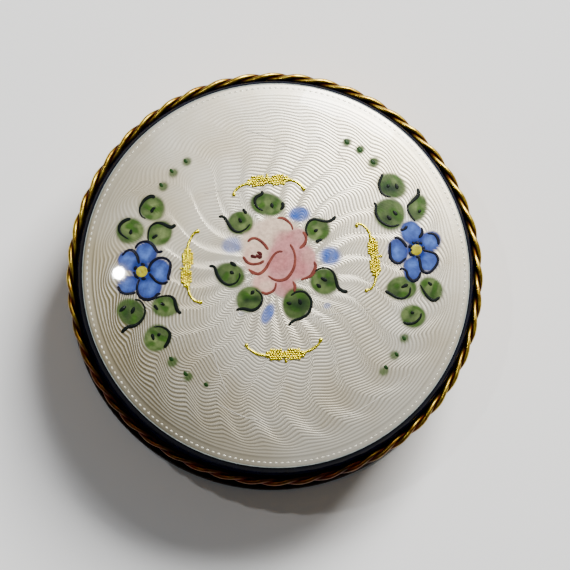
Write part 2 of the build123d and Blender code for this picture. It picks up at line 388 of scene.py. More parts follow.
def rope_gold():
    """Worn gilding: bright on the crests, red-brown in the grooves as painted shade, and darker towards the
    front from tarnish and painted shade.
    """
    s = Shader("rope_gold", Metallic=1.0)
    crest = s.attribute("crest")
    worn = s.ramp(s.noise(1500, 5, 0.65), (0.34, linear(132, 88, 24)), (0.62, linear(230, 198, 70)))
    # painted shade: dark red-brown between the strands, where shade falls, also standing for patina
    groove_shade = s.ramp(crest, (0.55, 1.0), (0.90, 0.0))
    bright = s.mix(groove_shade, worn, linear(48, 16, 8))
    # painted shade and tarnish: the rope darkens towards the front, where the plaque shades it, in uneven
    # tarnish patches
    tarnish_and_shade = s.ramp(s.noise(700, 5, 0.7), (0.35, linear(20, 7, 5)), (0.66, linear(92, 30, 14)))
    front = s.toward(SHADED_ROPE_SIDE, ROPE_CENTRE_RADIUS)
    patchy = s.math("ADD", front, s.math("MULTIPLY", s.noise(160, 3), 0.5))
    s.feed(s.mix(s.ramp(patchy, (0.35, 0.0), (0.95, 0.94)), bright, tarnish_and_shade), "Base Color")
    s.feed(s.ramp(crest, (0.5, 0.55), (0.9, 0.30)), "Roughness")
    s.feed(s.bump(s.noise(5200, 3), 0.35, 0.012), "Normal")
    return s.material


def turned_gold(name, deep, bright, pitch, along, rough, depth=0.006, shade_heights=None):
    """Gilt metal with fine turned rings by radius or height. Painted shade, dark like tarnish, sets in from
    one height to another.
    """
    s = Shader(name, Metallic=1.0)
    height = s.vector("DOT_PRODUCT", s.place, (0, 0, 1), "Value")
    radius = s.vector("LENGTH", s.vector("MULTIPLY", s.place, (1, 1, 0)), output="Value")
    way = radius if along == "radius" else height
    wobble = s.math("MULTIPLY", s.noise(260, 2), RING_WANDER * MM)
    wave = s.math("SINE", s.math("MULTIPLY", s.math("ADD", way, wobble), tau / (pitch * MM)))
    tone = s.ramp(s.noise(110, 3), (0.15, deep), (0.85, bright))
    smudge = s.ramp(s.noise(620, 4, 0.7), (0.60, 0.0), (0.8, 0.18))
    colour = s.mix(smudge, tone, tuple(0.6 * c for c in deep))
    # painted shade: darkens the metal between two heights, as a contact shadow low on the base and as shade
    # under the rope
    if shade_heights:
        wander = s.math("MULTIPLY", s.noise(420, 4), SHADE_WANDER * MM)
        reach = s.math("ADD", height, wander)
        span = s.node("ShaderNodeMapRange")
        s.link(reach, span.inputs["Value"])
        span.inputs["From Min"].default_value = (shade_heights[0] + SHADE_WANDER / 2) * MM
        span.inputs["From Max"].default_value = (shade_heights[1] + SHADE_WANDER / 2) * MM
        dark = s.ramp(s.noise(900, 4), (0.3, linear(8, 4, 3)), (0.7, linear(34, 17, 8)))
        colour = s.mix(span.outputs["Result"], colour, dark)
    s.feed(colour, "Base Color")
    s.feed(s.ramp(s.noise(900, 5, 0.65), (0.3, rough[0]), (0.75, rough[1])), "Roughness")
    rings = s.bump(wave, 0.6, depth)
    s.feed(s.bump(s.noise(4200, 3), 0.25, 0.008, rings), "Normal")
    return s.material


def steel():
    """Drawn steel wire, with its streaks along X."""
    s = Shader("pin_steel", Metallic=1.0)
    drawn = s.noise(900, 4, 0.6, s.stretched((0.08, 1, 1)))
    s.feed(s.ramp(drawn, (0.3, linear(120, 116, 110)), (0.7, linear(176, 173, 168))), "Base Color")
    s.feed(s.ramp(drawn, (0.3, 0.22), (0.7, 0.42)), "Roughness")
    s.feed(s.bump(drawn, 0.3, 0.01), "Normal")
    return s.material


def counter_glaze():
    """Speckled blue enamel on the back of the plaque."""
    s = Shader("counter_glaze", Roughness=0.2, Coat_Weight=1.0, Coat_Roughness=0.06)
    speckle = s.ramp(s.noise(2200, 6, 0.7), (0.4, linear(40, 52, 84)), (0.6, linear(90, 104, 140)))
    s.feed(speckle, "Base Color")
    s.feed(s.bump(s.noise(900, 3), 0.3, 0.03), "Normal")
    return s.material


def dress(piece, material):
    piece.data.materials.clear()
    piece.data.materials.append(material)


def lid_piece(piece, material, slot, *nodes):
    """A visual piece that rides on the lid, and stands for CAD nodes if any are named."""
    dress(piece, material)
    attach(piece, "lid")
    if nodes:
        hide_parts(*nodes)


# ---- The painted motif, in mm from the middle of the field ----

GREEN = linear(56, 82, 28)
FRESH_GREEN = linear(62, 106, 14)
DEEP_GREEN = linear(14, 38, 16)
PALE_GREEN = linear(142, 160, 98)
BLUE = linear(10, 42, 122)
PALE_BLUE = linear(84, 120, 204)
THIN_BLUE = linear(6, 80, 178)
PINK = linear(196, 132, 132)
DEEP_PINK = linear(184, 104, 106)
PALE_PINK = linear(228, 176, 160)
CREAM_PINK = linear(232, 204, 180)

# Leaves: middle, half length and half width, turn in degrees, shade from 0 pale to 1 dark, outline, dabs.
LEAVES = (
    # round the rose
    ((-3.6, 5.15), (1.2, 1.05), 20, 0.4,
     [(-5.78, 5.75), (-5.25, 5.68), (-4.8, 5.0), (-4.35, 4.4), (-3.75, 4.18), (-3.08, 4.48),
      (-2.63, 5.0)],
     [[(-3.38, 6.55), (-2.98, 6.02)], [(-3.75, 5.58), (-3.5, 5.12)]]),
    ((-0.75, 6.9), (1.5, 1.1), -8, 0.4,
     [(-1.5, 8.38), (-1.43, 8.08), (-2.03, 7.7), (-2.15, 7.18), (-1.88, 6.65), (-1.35, 6.35)],
     [[(0.58, 7.25), (0.66, 6.8), (0.38, 6.43)], [(-0.53, 7.12), (-0.38, 6.62)]]),
    ((4.1, 4.4), (1.15, 1.1), 30, 0.15,
     [(3.15, 3.8), (2.93, 4.45), (3.2, 5.23), (3.8, 5.53), (4.5, 5.38), (5.18, 5.33), (5.63, 5.53),
      (5.93, 5.85)],
     [[(3.75, 4.25), (4.15, 4.5)], [(3.88, 3.18), (4.6, 3.52)]]),
    ((4.65, -0.85), (1.25, 1.15), 0, 0.45,
     [(3.75, 0.2), (4.43, 0.58), (5.18, 0.55), (5.7, 0.13), (5.93, -0.55), (6.15, -1.3), (6.6, -1.68),
      (7.13, -1.75)],
     [[(4.4, -0.38), (5.05, -0.7)], [(3.98, -1.0), (4.43, -1.38)]]),
    ((2.1, -2.95), (1.45, 1.35), 40, 0.9,
     [(1.43, -2.2), (2.03, -1.83), (2.78, -1.83), (3.38, -2.43), (3.48, -3.18), (3.15, -4.0),
      (2.48, -4.45), (1.65, -4.75), (1.2, -5.2)],
     [[(2.25, -2.5), (2.42, -3.12)], [(0.98, -2.92), (1.5, -3.05)]]),
    ((-2.72, -2.5), (1.25, 1.15), 30, 0.7,
     [(-2.1, -1.6), (-1.58, -2.05), (-1.43, -2.65), (-1.73, -3.33), (-2.4, -3.7), (-3.3, -3.55),
      (-4.05, -3.67)],
     [[(-2.58, -2.12), (-2.22, -1.72)]]),
    ((-4.65, -0.1), (1.3, 1.2), -30, 0.6,
     [(-6.75, 0.73), (-6.23, 0.65), (-5.93, -0.1), (-5.48, -0.78), (-4.8, -1.15), (-4.05, -0.93),
      (-3.68, -0.33), (-3.7, 0.03)],
     [[(-4.65, 1.15), (-3.98, 0.72)], [(-4.65, 0.2), (-4.25, -0.05)]]),
    # left spray
    ((-12.5, 6.55), (1.25, 1.1), -60, 0.25,
     [(-12.08, 7.72), (-12.5, 7.86), (-13.1, 7.54), (-13.53, 6.9), (-13.64, 6.36), (-13.42, 5.82),
      (-13.05, 5.58)],
     [[(-12.5, 6.18), (-12.3, 6.57), (-12.05, 6.68)]]),
    ((-14.5, 4.4), (1.25, 1.2), 0, 0.25,
     [(-14.52, 5.62), (-15.14, 5.4), (-15.6, 4.96), (-15.67, 4.43), (-15.35, 3.95), (-14.7, 3.5)],
     [[(-14.48, 4.52), (-14.55, 3.98)]]),
    ((-11.7, 3.9), (1.2, 1.1), 60, 0.1,
     [(-12.8, 3.25), (-12.78, 4.1), (-12.56, 4.75), (-12.03, 5.12), (-11.4, 5.07), (-10.85, 4.8),
      (-10.4, 4.7), (-10.05, 4.96)],
     [[(-12.4, 3.57), (-11.85, 3.92)]]),
    ((-14.55, -3.9), (1.35, 1.2), -50, 1.0,
     [(-14.13, -2.56), (-13.56, -2.71), (-13.15, -3.28), (-13.1, -4.0), (-13.4, -4.63), (-14.03, -5.15),
      (-14.86, -5.35), (-15.43, -5.87)],
     [[(-15.63, -3.75), (-14.96, -3.18)], [(-14.44, -4.0), (-14.13, -3.28)]]),
    ((-11.13, -3.3), (1.2, 0.95), -15, 0.3,
     [(-12.2, -2.56), (-11.54, -2.3), (-10.7, -2.23), (-10.2, -2.56), (-10.04, -3.18), (-9.83, -3.75),
      (-9.47, -4.0)],
     [[(-12.2, -3.13), (-11.8, -3.64)], [(-11.54, -2.92), (-11.13, -3.18)]]),
    ((-11.95, -6.5), (1.25, 1.15), 10, 0.15,
     [(-12.2, -5.32), (-11.54, -5.3), (-10.9, -5.6), (-10.6, -6.08), (-10.77, -6.8), (-11.18, -7.43)],
     [[(-12.4, -6.0), (-12.2, -6.65)], [(-11.85, -6.23), (-11.54, -5.97)]]),
    # right spray
    ((11.75, 9.15), (1.4, 1.12), -30, 0.75,
     [(10.72, 10.32), (10.45, 9.75), (10.29, 9.1), (10.5, 8.4), (10.94, 8.03), (11.5, 7.93)],
     [[(11.12, 9.2), (11.3, 8.88)], [(11.98, 9.32), (12.17, 8.75)]]),
    ((11.5, 6.25), (1.5, 1.3), -25, 0.7,
     [(9.76, 7.34), (9.97, 7.0), (9.95, 6.3), (10.3, 5.57), (10.94, 5.1), (11.63, 4.93), (12.33, 5.14)],
     [[(11.68, 6.52), (12.12, 6.08)], [(11.08, 6.02), (11.5, 5.58)]]),
    ((14.26, 6.85), (1.3, 0.88), 75, 0.5,
     [(14.2, 8.9), (14.26, 8.25), (13.72, 7.6), (13.19, 7.07), (13.24, 6.48), (13.6, 5.9),
      (13.94, 5.5)],
     [[(14.28, 6.36), (14.48, 6.72)]]),
    ((12.57, -1.25), (1.4, 1.05), 10, 0.5,
     [(10.86, -1.6), (11.43, -1.9), (12.06, -2.26), (12.74, -2.3), (13.3, -1.86), (13.43, -1.17)],
     [[(12.5, -1.23), (13.2, -0.89)]]),
    ((15.45, -1.25), (1.2, 0.98), -45, 0.4,
     [(14.4, -0.89), (14.8, -1.57), (15.26, -2.2), (15.83, -2.45), (16.4, -2.09)],
     [[(15.2, -0.6), (15.6, -0.94)]]),
    ((13.66, -4.0), (1.15, 1.1), 0, 0.35,
     [(12.69, -4.71), (13.2, -4.85), (13.89, -4.71), (14.4, -4.2), (14.51, -3.74)],
     [[(13.43, -3.69), (13.8, -3.78)]]),
)

# Buds: middle of the green touch, its size, where the dark touch sits on it, and how strong both are.
BUDS = (
    ((-8.92, 11.35), 0.5, (-0.14, 0.08), 0.4), ((-10.28, 10.2), 0.52, (-0.18, 0.22), 0.4),
    ((-11.3, 8.8), 0.52, (-0.2, 0.2), 0.4),
    ((-10.35, -8.85), 0.58, (-0.12, 0.32), 0.6), ((-8.78, -10.32), 0.52, (-0.26, 0.3), 0.7),
    ((-6.99, -11.1), 0.32, (0.0, 0.0), 0.4),
    ((7.08, 13.45), 0.42, (0.0, 0.05), 1.0), ((8.42, 12.7), 0.44, (-0.06, 0.0), 1.0),
    ((9.81, 11.44), 0.6, (-0.12, 0.04), 0.9),
    ((12.8, -6.32), 0.55, (-0.02, 0.02), 0.5), ((11.84, -8.02), 0.48, (0.22, 0.08), 0.4),
    ((10.78, -9.65), 0.52, (0.2, 0.42), 0.4),
)

# Forget-me-nots: middle, petals as (middle, half sizes, turn), and the dark outlines.
FLOWERS = (
    ((-13.42, 0.22),
     (((-12.98, 2.1), (1.1, 1.05), 80), ((-11.65, 0.25), (1.08, 1.22), 0),
      ((-12.75, -1.4), (1.2, 1.08), 20), ((-14.8, -1.1), (1.05, 0.85), 20),
      ((-14.72, 1.4), (1.0, 0.98), -20)),
     ([(-14.12, 2.55), (-13.69, 3.09), (-12.99, 3.27), (-12.4, 2.98), (-12.03, 2.45), (-11.76, 2.18),
       (-11.33, 2.29)],
      [(-15.4, 1.86), (-14.92, 2.34), (-14.33, 2.39), (-13.9, 1.86), (-13.69, 1.02)],
      [(-12.75, 0.5), (-12.4, 1.16), (-11.7, 1.59), (-10.96, 1.48), (-10.58, 1.0), (-10.64, 0.25),
       (-10.8, -0.35), (-10.66, -0.7)],
      [(-12.7, 0.05), (-12.4, -0.29), (-11.92, -0.82), (-11.28, -1.0), (-10.8, -0.82)],
      [(-13.62, -0.5), (-13.87, -1.21), (-13.8, -1.94), (-13.4, -2.45), (-12.79, -2.6),
       (-12.16, -2.4), (-11.85, -2.05), (-11.5, -2.02)],
      [(-15.8, -1.2), (-15.48, -1.78), (-14.86, -1.99), (-14.0, -1.86)],
      [(-14.3, 0.1), (-14.05, 0.16)], [(-13.25, 0.98), (-13.2, 0.84)],
      [(-13.92, -0.34), (-13.66, -0.44)])),
    ((14.03, 2.6),
     (((13.52, 4.4), (1.08, 1.1), 100), ((15.45, 3.42), (1.05, 1.0), 30),
      ((15.26, 1.45), (1.02, 1.05), -40), ((13.58, 0.7), (0.9, 1.15), 0),
      ((12.12, 2.48), (1.0, 1.25), 10)),
     ([(12.4, 4.58), (12.8, 4.66), (13.14, 5.02)], [(14.58, 4.92), (14.63, 4.32), (14.28, 3.82)],
      [(15.14, 4.32), (15.82, 4.25), (16.22, 3.75), (16.28, 3.18)],
      [(14.68, 2.6), (15.26, 2.48), (15.94, 2.26), (16.22, 1.7), (16.05, 1.12), (15.48, 0.44),
       (14.92, 0.33), (14.52, 0.72), (14.38, 1.45), (14.24, 1.9)],
      [(12.3, 0.55), (12.64, 0.68), (13.02, 0.43), (13.2, -0.14), (13.7, -0.54), (14.22, -0.26),
       (14.5, 0.43)],
      [(11.76, 3.8), (12.28, 3.74), (12.8, 3.28), (13.08, 2.82)],
      [(11.42, 3.34), (11.35, 2.72), (11.42, 1.8), (11.84, 1.3), (12.34, 1.24), (12.8, 1.58),
       (13.02, 1.8)],
      [(13.58, 3.4), (13.92, 3.22)], [(14.42, 3.45), (14.6, 3.16)], [(13.42, 2.7), (13.62, 2.48)],
      [(13.62, 2.14), (13.84, 1.98)])),
)

# The rose's body: soft touches of paint as (middle, half sizes, turn, colour, strength, softness).
ROSE_TOUCHES = (
    ((-1.3, 3.3), (2.3, 2.15), 20, CREAM_PINK, 0.95, 0.3),
    ((0.3, 4.5), (1.9, 1.35), -10, CREAM_PINK, 0.95, 0.3),
    ((-1.6, 1.3), (1.95, 1.6), 0, PALE_PINK, 0.9, 0.3),
    ((-1.0, -1.0), (1.55, 1.1), -10, PALE_PINK, 0.95, 0.3),
    ((1.0, 1.2), (2.3, 2.4), 0, PINK, 0.95, 0.22),
    ((2.4, 1.1), (1.75, 1.8), 0, PINK, 0.95, 0.2),
    ((2.1, 3.6), (1.1, 1.2), -40, PINK, 0.9, 0.28),
    ((0.6, 3.2), (1.2, 1.3), 20, PINK, 0.75, 0.55),
    ((0.75, -1.5), (1.35, 1.1), 0, PINK, 0.9, 0.3),
    ((0.1, 5.0), (1.25, 0.55), -12, CREAM_PINK, 0.9, 0.45),
    ((0.2, 1.1), (1.1, 1.4), -25, DEEP_PINK, 0.45, 0.6),
    ((2.3, 0.6), (0.9, 1.2), 10, DEEP_PINK, 0.4, 0.6),
    ((1.2, -1.2), (0.8, 0.8), 0, DEEP_PINK, 0.45, 0.6),
    ((1.0, 3.9), (0.7, 0.6), 0, DEEP_PINK, 0.3, 0.7),
    ((3.1, 1.8), (0.7, 0.8), 0, PALE_PINK, 0.35, 0.7),
    ((-1.9, 2.1), (1.15, 1.0), 0, CREAM_PINK, 0.85, 0.5),
    ((-1.0, -1.2), (0.8, 0.45), 10, CREAM_PINK, 0.5, 0.6),
)

# Blue touches of thin paint that the engraving shows through.
BLUE_TOUCHES = (
    ((2.2, 6.05), (1.15, 0.85), 10, 1.0), ((-4.43, 2.83), (1.2, 0.95), 0, 0.72),
    ((5.25, 1.8), (1.1, 1.0), 0, 0.98), ((-0.85, -4.02), (0.62, 1.2), -28, 0.95),
    ((5.03, -3.18), (0.42, 0.34), 20, 0.6), ((-3.55, -4.05), (0.3, 0.22), 0, 0.25),
)

# The rose's drawn lines and its dark heart: points and width.
ROSE_LINES = (
    ([(-2.9, 3.18), (-2.45, 3.52), (-1.85, 3.45), (-1.25, 2.96), (-0.82, 2.38)], 0.34),
    ([(-3.36, 1.72), (-2.95, 1.15), (-2.4, 0.93), (-1.7, 1.02), (-1.22, 1.3)], 0.306),
    ([(0.62, 2.21), (0.2, 2.2), (-0.22, 1.92), (-0.68, 1.23), (-1.14, 0.43), (-1.83, -0.05), (-2.75, 0.32)],
     0.306),
    ([(1.35, 2.98), (1.7, 2.35), (1.86, 1.6), (1.76, 0.7), (1.42, 0.0), (0.95, -0.52), (0.3, -0.7),
      (-0.3, -0.58), (-0.86, -0.22)], 0.289),
    ([(0.01, 5.6), (0.55, 5.62), (0.98, 5.42), (1.45, 4.95), (1.64, 4.42)], 0.272),
    ([(2.62, 4.25), (2.9, 3.85), (2.94, 3.35), (2.72, 2.9), (2.28, 2.55)], 0.323),
    ([(3.74, 1.25), (3.9, 0.8), (3.72, 0.2), (3.3, -0.28), (2.42, -0.62)], 0.34),
    ([(-0.05, -0.88), (-0.12, -1.4), (-0.38, -1.78), (-1.02, -2.04), (-1.52, -1.84)], 0.272),
    ([(1.62, -0.75), (1.84, -1.25), (1.76, -1.85)], 0.272),
    ([(-2.8, 0.45), (-2.42, 0.05), (-2.2, -0.12)], 0.272),
)
ROSE_HEART = (
    ([(-2.62, 1.78), (-2.3, 1.7), (-1.95, 1.62)], 0.364),
    ([(-2.05, 1.92), (-1.72, 1.62), (-1.46, 1.8)], 0.364),
    ([(-1.98, 2.16), (-1.72, 2.06), (-1.46, 1.82)], 0.336),
)

# Gold scrolls: the two lobes of granules, the outer granule, and the two curled tails.
SCROLLS = {
    "gold_scroll_back": (
        ((-1.85, 9.35), (0.18, 9.5)), (-0.95, 10.02),
        ([(-2.6, 9.18), (-3.5, 8.88), (-4.12, 8.38), (-4.3, 7.98)],
         [(0.85, 9.58), (1.65, 9.43), (2.35, 9.05), (2.68, 8.58)]), 6),
    "gold_scroll_front": (
        ((-0.02, -8.12), (1.76, -8.06)), (0.98, -8.82),
        ([(-0.8, -8.26), (-1.9, -8.05), (-2.75, -7.55), (-3.05, -7.18)],
         [(2.55, -7.95), (3.6, -7.52), (4.25, -6.98), (4.38, -6.58)]), 2),
    "gold_scroll_left": (
        ((-8.85, 1.45), (-9.0, -0.35)), (-9.55, 0.48),
        ([(-8.93, 2.2), (-8.72, 3.15), (-8.28, 3.98), (-7.9, 4.28)],
         [(-8.88, -1.15), (-8.65, -2.1), (-8.15, -2.75), (-7.62, -2.88)]), 92),
    "gold_scroll_right": (
        ((9.66, 2.7), (9.88, 0.92)), (10.5, 1.9),
        ([(9.48, 3.4), (9.3, 4.2), (8.8, 4.88), (8.2, 5.14), (7.98, 4.96)],
         [(10.02, 0.15), (9.85, -0.75), (9.48, -1.4), (8.95, -1.58)]), 95),
}

# Faint scratches in the glaze.
SCRATCHES = (
    [(-3.0, 14.6), (-0.8, 13.9), (1.8, 12.6)], [(-7.2, 8.1), (-5.2, 8.4), (-3.2, 8.3)],
    [(-6.6, -6.4), (-5.9, -9.2), (-4.9, -12.0)], [(2.5, -4.6), (6.4, -3.9), (9.6, -3.4)],
    [(-6.0, -12.9), (-3.4, -14.2), (-1.2, -14.7)], [(6.6, -14.4), (9.8, -12.6), (13.4, -9.9)],
    [(4.0, 14.0), (5.8, 12.8), (7.2, 11.2)],
)


# ---- The engraved enamel field ----

LINE_PITCH = 0.315
LINE_DEPTH = 0.030
ROWS_PER_LINE = 3
ENGRAVED_TO = FIELD_RADIUS - 0.90
WAVES_AROUND = 24
FIELD_AROUND = 528
PAINT_HEIGHT = 0.012  # how far thick soft paint stands above the dome
# Plain rings outside the engraving: how far inside the field's edge, and how far rounded down.
RIM_RINGS = ((0.75, 0.0), (0.55, 0.0), (0.35, 0.0), (0.20, 0.0), (0.08, 0.006), (0.03, 0.02), (0.0, 0.06))
UNDERSIDE_RINGS = (FIELD_RADIUS - 0.05, 15.0, 10.0, 5.0, 0.5)


def engraving_shift(radius, angle):
    """How far a ring of the rose engine wanders in or out, in mm."""
    x, y = radius * np.cos(angle), radius * np.sin(angle)
    reach = 0.46 * smoothstep(0.8, 5.0, radius) * (1 - smoothstep(15.6, 18.2, radius))
    drift = 2.3 * np.sin(0.55 * radius + 0.7) + 1.1 * ripple(x / 5.5, y / 5.5, 3)
    uneven = 0.85 + 0.45 * ripple(x / 4.5, y / 4.5, 8)
    phase = WAVES_AROUND * angle + drift
    scallop = 2.2 * np.abs(np.cos(phase / 2)) - 1.4
    return reach * uneven * (0.45 * np.sin(phase) + 0.75 * scallop)


def engraved_wave(base, engraved_rows, x, y):
    """Relief of the top's vertices: 1 on a crest, below 0 in a cut, and shallower towards -X and +Y."""
    row = np.arange(len(base))
    wave = np.where(row < engraved_rows, np.cos(row * tau / ROWS_PER_LINE), 0)
    fade = smoothstep(0.8, 2.5, base) * (1 - 0.45 * smoothstep(16.0, 18.2, base))
    shallow = 1 - 0.70 * smoothstep(2.0, 9.0, -x) * smoothstep(-2.0, 5.0, y)
    return np.repeat(wave * fade, FIELD_AROUND) * shallow


class SoftPaint:
    """Paint fired into the field: its colour, its cover, and how far it hides the engraving."""

    def __init__(self, x, y):
        self.x, self.y = x, y
        self.colour = np.zeros((len(x), 3))
        self.cover = np.zeros(len(x))
        self.opaque = np.zeros(len(x))

    def patches(self, fineness, seed):
        return ripple(fineness * self.x, fineness * self.y, seed)

    def touch(self, middle, sizes, turn, softness, seed):
        """Cover from 0 to 1 of one soft oval touch of the brush."""
        dx, dy = self.x - motif_place(middle)[0], self.y - motif_place(middle)[1]
        c, s = cos(radians(turn)), sin(radians(turn))
        u, v = (dx * c + dy * s) / sizes[0], (dy * c - dx * s) / sizes[1]
        edge = np.hypot(u, v) * (1 + 0.10 * self.patches(1.3, seed))
        return 1 - smoothstep(1 - softness, 1 + 0.5 * softness, edge)

    def lay(self, touch, paint, hides):
        """Lays one touch of paint over what is there."""
        total = touch + self.cover * (1 - touch)
        share = np.where(total > 0, touch / np.maximum(total, 1e-6), 0)[:, None]
        self.colour = self.colour * (1 - share) + np.asarray(paint) * share
        self.cover = total
        self.opaque = self.opaque * (1 - touch) + touch * hides


ROSE_HIDES, LEAF_HIDES, BUD_HIDES, PETAL_HIDES = 0.95, 0.92, 0.6, 0.96


def soft_leaf(soft, seed, middle, sizes, turn, shade, outline):
    """One leaf: a full green touch, paler and fresher patches, and a deep touch towards its outline."""
    sizes = np.array(sizes)
    bend = 0.14 * (np.mean(outline, axis=0) - middle)
    middle = middle + bend
    patches = soft.patches(4.5, 300 + seed)
    soft.lay(0.98 * soft.touch(middle, 1.17 * sizes, turn, 0.18, 50 + seed), GREEN, LEAF_HIDES)
    pale = soft.touch(middle - 2 * bend, sizes * (1.0, 0.9), turn, 0.8, 110 + seed)
    soft.lay((0.85 - 0.65 * shade) * pale * smoothstep(-0.7, 0.5, patches), PALE_GREEN, LEAF_HIDES)
    fresh = soft.touch(middle, sizes, turn, 0.6, 130 + seed) * smoothstep(0.0, 0.7, -patches)
    soft.lay(0.7 * fresh, FRESH_GREEN, LEAF_HIDES)
    deep = soft.touch(middle + 2.2 * bend, sizes * (0.95, 0.9), turn, 0.75, 80 + seed)
    deep = deep * (0.65 + 0.5 * soft.patches(3.0, 350 + seed))
    soft.lay(np.clip((0.40 + 0.60 * shade) * deep, 0, 1), DEEP_GREEN, LEAF_HIDES)


def soft_flower(soft, middle, petals):
    """One forget-me-not: blue petals with pale streaks, and a blue middle."""
    for seed, (place, sizes, turn) in enumerate(petals):
        sizes = np.array(sizes)
        soft.lay(0.97 * soft.touch(place, 1.08 * sizes, turn, 0.12, 170 + seed), BLUE, PETAL_HIDES)
        streaks = smoothstep(-0.8, 0.8, soft.patches(5, 360 + seed))
        pale = soft.touch(place, 0.82 * sizes, turn, 0.75, 190 + seed)
        soft.lay(pale * (0.35 + 0.6 * streaks), PALE_BLUE, PETAL_HIDES)
    soft.lay(soft.touch(middle, (1.05, 1.05), 0, 0.3, 210), BLUE, PETAL_HIDES)


def soft_motif(x, y):
    """The soft paint of the whole motif at points of the field."""
    soft = SoftPaint(x, y)
    for seed, (middle, sizes, turn, strength) in enumerate(BLUE_TOUCHES):
        thin = strength * soft.touch(middle, sizes, turn, 0.36, seed)
        soft.lay(thin * (0.86 + 0.08 * soft.patches(4, seed)), THIN_BLUE, 0.0)
    for seed, (middle, sizes, turn, paint, strength, softness) in enumerate(ROSE_TOUCHES):
        soft.lay(strength * soft.touch(middle, sizes, turn, softness, 20 + seed), paint, ROSE_HIDES)
    for seed, (*leaf, _) in enumerate(LEAVES):
        soft_leaf(soft, seed, *leaf)
    for seed, (middle, size, _, strength) in enumerate(BUDS):
        bud = soft.touch(middle, (1.15 * size, size), 40, 0.45, 140 + seed)
        soft.lay((0.85 + 0.13 * strength) * bud, GREEN, BUD_HIDES)
    for middle, petals, _ in FLOWERS:
        soft_flower(soft, middle, petals)
    return soft


def enamel_field():
    """The domed field, its rings following the engraved lines, closed underneath."""
    step = LINE_PITCH / ROWS_PER_LINE
    engraved = np.arange(step, ENGRAVED_TO, step)
    inside, rounding = np.array(RIM_RINGS).T
    base = np.concatenate([engraved, FIELD_RADIUS - inside])
    drop = np.concatenate([np.zeros(len(engraved)), rounding])
    angle = np.arange(FIELD_AROUND) * tau / FIELD_AROUND
    radius, turn = np.meshgrid(base, angle, indexing="ij")
    radius = radius + engraving_shift(radius, turn)
    x, y = (radius * np.cos(turn)).ravel(), (radius * np.sin(turn)).ravel()

    soft = soft_motif(x, y)
    wave = engraved_wave(base, len(engraved), x, y)
    lift = wave * LINE_DEPTH * (1 - soft.opaque) + PAINT_HEIGHT * soft.opaque
    z = dome_z(np.hypot(x, y)) + lift - np.repeat(drop, FIELD_AROUND)

    top = np.column_stack([x, y, z])
    below = [(r * cos(a), r * sin(a), dome_z(r, FIELD_THICKNESS)) for r in UNDERSIDE_RINGS for a in angle]
    vertices = np.vstack([[[0, 0, CROWN_Z]], top, below, [[0, 0, dome_z(0, FIELD_THICKNESS)]]])
    rings = len(base) + len(UNDERSIDE_RINGS)
    last = len(vertices) - 1
    faces = fan_faces(0, 1, FIELD_AROUND)
    faces += [tuple(1 + i for i in f[::-1]) for f in ring_faces(rings, FIELD_AROUND)]
    faces += [f[::-1] for f in fan_faces(last, last - FIELD_AROUND, FIELD_AROUND)]

    piece = make_object("enamel_field", vertices, faces)
    unseen = len(below) + 1
    middle = [[*soft.colour[0], 1]]
    painted = np.column_stack([soft.colour, soft.cover])
    paint = np.vstack([middle, painted, np.zeros((unseen, 4))])
    crest = np.concatenate([[0.5], 0.5 + 0.5 * wave, np.full(unseen, 0.5)])
    add_layer(piece, "paint", "FLOAT_COLOR", "color", paint)
    add_layer(piece, "crest", "FLOAT", "value", crest)
    lid_piece(piece, pearl_enamel(), "pale_enamel", "pale_enamel")


# ---- Strokes, dots and granules ----

STROKE_SIDE = (-1.0, -0.72, -0.3, 0.3, 0.72, 1.0)  # places across a stroke, as shares of its half width
STROKE_STEP = 0.09
ROOT = -0.04  # lift of the hidden underside of strokes and drops, below the dome


def stroke_mesh(points, width, height, seed, taper=0.25, heavy=None):
    """Vertices and faces of one raised brush stroke. The paint pools at its heavy end (0 first, 1 last)."""
    line = smooth_line(points, STROKE_STEP)
    count = len(line)
    t = np.linspace(0, 1, count)
    draw = random.Random(seed)
    swell = 1 - taper * np.abs(2 * t - 1) ** 2 + 0.14 * np.sin(draw.uniform(4, 8) * t + draw.uniform(0, 6))
    if heavy is not None:
        swell *= 0.72 + 0.70 * smoothstep(0.05, 0.95, t if heavy else 1 - t)
    ends = np.sqrt(np.clip(np.minimum(t, 1 - t) * count / 1.6, 0.06, 1))
    half = 0.5 * width * swell * ends
    way = np.gradient(line, axis=0)
    way /= np.linalg.norm(way, axis=1)[:, None]
    side = np.column_stack([-way[:, 1], way[:, 0]])
    rings = []
    for place in STROKE_SIDE:
        rise = LINE_DEPTH + height * ends * sqrt(1 - place * place)
        rings.append(on_dome(line + side * (half * place)[:, None], rise))
    for place in (0.8, -0.8):
        rings.append(on_dome(line + side * (half * place)[:, None], ROOT))
    around = len(rings)
    vertices = np.stack(rings, axis=1).reshape(-1, 3)
    faces = [(a, d, c, b) for a, b, c, d in ring_faces(count, around)]
    faces.append(tuple(range(around)))
    faces.append(tuple(range((count - 1) * around, count * around))[::-1])
    return vertices, faces


def blob_mesh(middle, sizes, turn, height):
    """Vertices and faces of one low rounded drop on the dome."""
    around, levels = 14, (1.0, 0.9, 0.68, 0.38)
    c, s = cos(radians(turn)), sin(radians(turn))
    a = np.arange(around) * tau / around
    rings = []
    for level in levels:
        u, v = level * sizes[0] * np.cos(a), level * sizes[1] * np.sin(a)
        flat = np.column_stack([middle[0] + u * c - v * s, middle[1] + u * s + v * c])
        rings.append(on_dome(flat, height * sqrt(max(0.0, 1 - level**2))))
    top = on_dome(np.array([middle]), height)
    low = on_dome(np.array([middle]), ROOT)
    vertices = np.vstack(rings + [top, low])
    crown, bottom = len(vertices) - 2, len(vertices) - 1
    faces = ring_faces(len(levels), around) + fan_faces(crown, crown - around, around)
    faces += [f[::-1] for f in fan_faces(bottom, 0, around)]
    return vertices, faces


